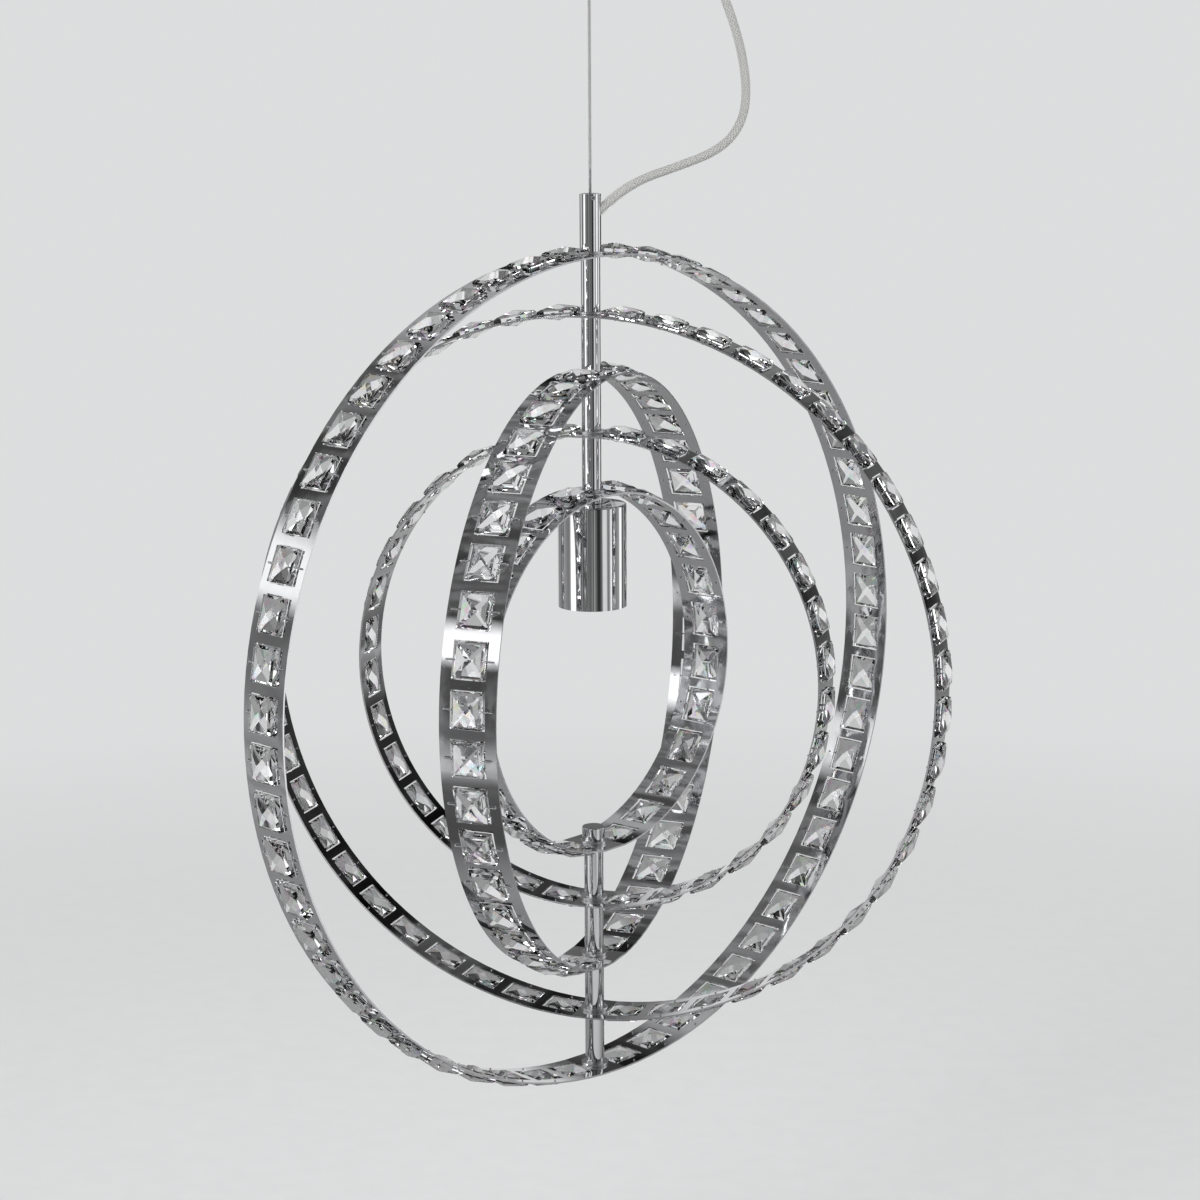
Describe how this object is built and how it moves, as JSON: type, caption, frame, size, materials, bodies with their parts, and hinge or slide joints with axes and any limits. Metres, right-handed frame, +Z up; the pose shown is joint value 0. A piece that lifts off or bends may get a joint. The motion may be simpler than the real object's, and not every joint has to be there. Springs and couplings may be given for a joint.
{
  "type": "orb chandelier",
  "caption": "Hanging orb chandelier: nested chrome bands set with square crystals, threaded on a stem with a lamp cup, under a round ceiling canopy.",
  "frame": {"origin": "centre of the ceiling bracket's top face, midway between its two screw holes", "axes": "+Z up, into the ceiling; +X towards the side where the cord leaves the stem; -Y towards the viewer of the picture"},
  "size_m": [0.4854, 0.4326, 0.9162],
  "materials": {
    "crystal": "clear, faceted",
    "pin_wire": "bright",
    "band_chrome": "mirror polished",
    "chrome_parts": "mirror polished",
    "clear_plastic": "clear jacket over silvery braid",
    "lead_plastic": "smooth insulation",
    "steel_wire": "stranded",
    "porcelain": null,
    "moulded_plastic": "black, satin",
    "brass_parts": "bright",
    "zinc_steel": "zinc plated"
  },
  "bodies": {
    "hanging_stem": {"canopy_cover": "chrome_parts", "canopy_leads": "lead_plastic", "ceiling_bracket": "zinc_steel", "centre_contact": "brass_parts", "cord_gland": "chrome_parts", "cord_grommet": "clear_plastic", "cup_nut": "chrome_parts", "gland_nut": "zinc_steel", "gripper_plunger": "chrome_parts", "lamp_cup": "chrome_parts", "lamp_screw_shell": "brass_parts", "lampholder_cap": "moulded_plastic", "lampholder_insert": "porcelain", "lampholder_skirt": "moulded_plastic", "lampholder_terminals": "brass_parts", "mounting_nipple": "zinc_steel", "plug_grub_screw": "zinc_steel", "rod_nuts": "zinc_steel", "stem_leads": "lead_plastic", "supply_cord": "clear_plastic", "suspension_wire": "steel_wire", "terminal_block": "moulded_plastic", "terminal_sleeves": "brass_parts", "top_tube": "chrome_parts", "top_tube_bush": "zinc_steel", "top_tube_plug": "zinc_steel", "upper_stem_rod": "zinc_steel", "upper_stem_tube_1": "chrome_parts", "upper_stem_tube_2": "chrome_parts", "upper_stem_tube_3": "chrome_parts", "upper_stem_tube_4": "chrome_parts", "upper_stem_washers": "chrome_parts", "wire_gripper": "chrome_parts", "wire_sleeve": "clear_plastic", "wire_stop": "zinc_steel"},
    "ring_1": {"ring_1_band": "band_chrome", "ring_1_crystal_pins": "pin_wire", "ring_1_crystals": "crystal"},
    "ring_2": {"ring_2_band": "band_chrome", "ring_2_crystal_pins": "pin_wire", "ring_2_crystals": "crystal"},
    "ring_3": {"ring_3_band": "band_chrome", "ring_3_crystal_pins": "pin_wire", "ring_3_crystals": "crystal"},
    "ring_4": {"ring_4_band": "band_chrome", "ring_4_crystal_pins": "pin_wire", "ring_4_crystals": "crystal"},
    "ring_5": {"ring_5_band": "band_chrome", "ring_5_crystal_pins": "pin_wire", "ring_5_crystals": "crystal"},
    "lower_stem": {"bottom_nut": "chrome_parts", "lower_stem_end_cap": "chrome_parts", "lower_stem_rod": "zinc_steel", "lower_stem_tube_1": "chrome_parts", "lower_stem_tube_2": "chrome_parts", "lower_stem_tube_3": "chrome_parts", "lower_stem_tube_4": "chrome_parts", "lower_stem_washers": "chrome_parts"}
  },
  "joints": [
    {"name": "ring_1_turn", "type": "hinge", "parent": "hanging_stem", "child": "ring_1", "pos_m": [0, 0, -0.62], "axis": [0, 0, 1], "continuous": true},
    {"name": "ring_2_turn", "type": "hinge", "parent": "hanging_stem", "child": "ring_2", "pos_m": [0, 0, -0.62], "axis": [0, 0, 1], "continuous": true},
    {"name": "ring_3_turn", "type": "hinge", "parent": "hanging_stem", "child": "ring_3", "pos_m": [0, 0, -0.62], "axis": [0, 0, 1], "continuous": true},
    {"name": "ring_4_turn", "type": "hinge", "parent": "hanging_stem", "child": "ring_4", "pos_m": [0, 0, -0.62], "axis": [0, 0, 1], "continuous": true},
    {"name": "ring_5_turn", "type": "hinge", "parent": "hanging_stem", "child": "ring_5", "pos_m": [0, 0, -0.62], "axis": [0, 0, 1], "continuous": true},
    {"name": "lower_stem_turn", "type": "hinge", "parent": "ring_1", "child": "lower_stem", "pos_m": [0, 0, -0.62], "axis": [0, 0, 1], "continuous": true}
  ]
}
